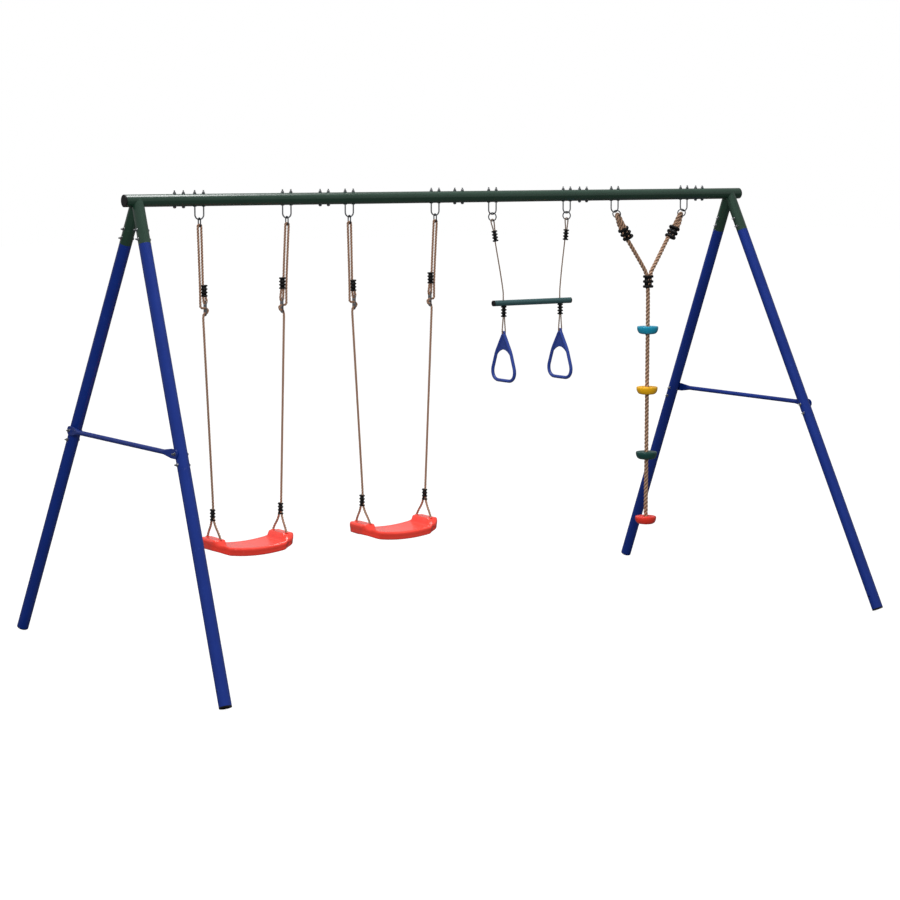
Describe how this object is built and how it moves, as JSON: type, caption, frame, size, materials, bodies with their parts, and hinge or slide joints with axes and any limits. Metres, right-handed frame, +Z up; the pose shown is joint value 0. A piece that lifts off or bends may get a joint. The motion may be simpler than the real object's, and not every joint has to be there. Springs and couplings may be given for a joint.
{
  "type": "swing set",
  "caption": "Garden swing set: a sectional beam on splayed A-frame legs carries board swings, a trapeze bar with ring handles and a climbing rope with foot discs.",
  "frame": {"origin": "on the ground, midway between the feet, below the middle of the beam", "axes": "+X along the beam from the board swings towards the climbing rope, +Y from the front legs to the back legs, +Z up"},
  "size_m": [3.4004, 1.86, 1.906],
  "materials": {
    "beam_paint": "satin powder coat",
    "leg_paint": "satin powder coat",
    "zinc": "zinc plated",
    "adjuster_steel": "zinc plated",
    "black_plastic": "fine moulded texture",
    "swing_rope": "braided",
    "trapeze_rope": "braided",
    "climbing_rope": "twisted",
    "seat_plastic": "moulded, satin sheen",
    "bar_paint": "gloss paint",
    "handle_plastic": "moulded",
    "disc_blue": "moulded",
    "disc_yellow": "moulded",
    "disc_green": "moulded",
    "disc_red": "moulded"
  },
  "bodies": {
    "frame": {"beam_end_left": "beam_paint", "beam_tube_1": "beam_paint", "beam_tube_2": "beam_paint", "beam_tube_3": "beam_paint", "beam_tube_4": "beam_paint", "beam_end_right": "beam_paint", "upper_leg_left_front": "leg_paint", "lower_leg_left_front": "leg_paint", "upper_leg_left_back": "leg_paint", "lower_leg_left_back": "leg_paint", "upper_leg_right_front": "leg_paint", "lower_leg_right_front": "leg_paint", "upper_leg_right_back": "leg_paint", "lower_leg_right_back": "leg_paint", "cross_brace_left": "leg_paint", "cross_brace_right": "leg_paint", "beam_caps": "black_plastic", "foot_plugs": "black_plastic", "beam_joint_bolts": "zinc", "beam_nuts": "zinc", "saddle_washers": "zinc", "socket_bolts": "zinc", "leg_joint_bolts": "zinc", "leg_nuts": "zinc", "swing_1_u_bolts": "zinc", "swing_2_u_bolts": "zinc", "trapeze_u_bolts": "zinc", "climber_u_bolts": "zinc"},
    "swing_1": {"swing_1_links": "zinc", "swing_1_rope_left": "swing_rope", "swing_1_rope_right": "swing_rope", "swing_1_upper_clamps": "black_plastic", "swing_1_seat_clamps": "black_plastic", "swing_1_adjusters": "adjuster_steel", "swing_1_seat": "seat_plastic"},
    "swing_2": {"swing_2_links": "zinc", "swing_2_rope_left": "swing_rope", "swing_2_rope_right": "swing_rope", "swing_2_upper_clamps": "black_plastic", "swing_2_seat_clamps": "black_plastic", "swing_2_adjusters": "adjuster_steel", "swing_2_seat": "seat_plastic"},
    "trapeze": {"trapeze_rings": "zinc", "trapeze_rope_left": "trapeze_rope", "trapeze_rope_right": "trapeze_rope", "trapeze_upper_clamps": "black_plastic", "trapeze_lower_clamps": "black_plastic", "trapeze_bar": "bar_paint", "trapeze_bar_caps": "black_plastic"},
    "ring_handle_left": {"ring_handle_left": "handle_plastic"},
    "ring_handle_right": {"ring_handle_right": "handle_plastic"},
    "climber": {"climber_rings": "zinc", "climbing_rope_main": "climbing_rope", "climbing_rope_branch": "climbing_rope", "climber_upper_clamps": "black_plastic", "climber_junction_clamp": "black_plastic", "foot_disc_1": "disc_blue", "foot_disc_2": "disc_yellow", "foot_disc_3": "disc_green", "foot_disc_4": "disc_red"}
  },
  "joints": [
    {"name": "swing_1_hinge", "type": "hinge", "parent": "frame", "child": "swing_1", "pos_m": [-1.065, 0, 1.788], "axis": [1, 0, 0], "range_deg": [-60, 60]},
    {"name": "swing_2_hinge", "type": "hinge", "parent": "frame", "child": "swing_2", "pos_m": [-0.34, 0, 1.788], "axis": [1, 0, 0], "range_deg": [-60, 60]},
    {"name": "trapeze_hinge", "type": "hinge", "parent": "frame", "child": "trapeze", "pos_m": [0.384, 0, 1.788], "axis": [1, 0, 0], "range_deg": [-60, 60]},
    {"name": "ring_handle_left_hinge", "type": "hinge", "parent": "trapeze", "child": "ring_handle_left", "pos_m": [0.243, 0, 1.262], "axis": [1, 0, 0], "range_deg": [-60, 60]},
    {"name": "ring_handle_right_hinge", "type": "hinge", "parent": "trapeze", "child": "ring_handle_right", "pos_m": [0.555, 0, 1.262], "axis": [1, 0, 0], "range_deg": [-60, 60]},
    {"name": "climber_hinge", "type": "hinge", "parent": "frame", "child": "climber", "pos_m": [1.065, 0, 1.788], "axis": [1, 0, 0], "range_deg": [-35, 35]}
  ]
}
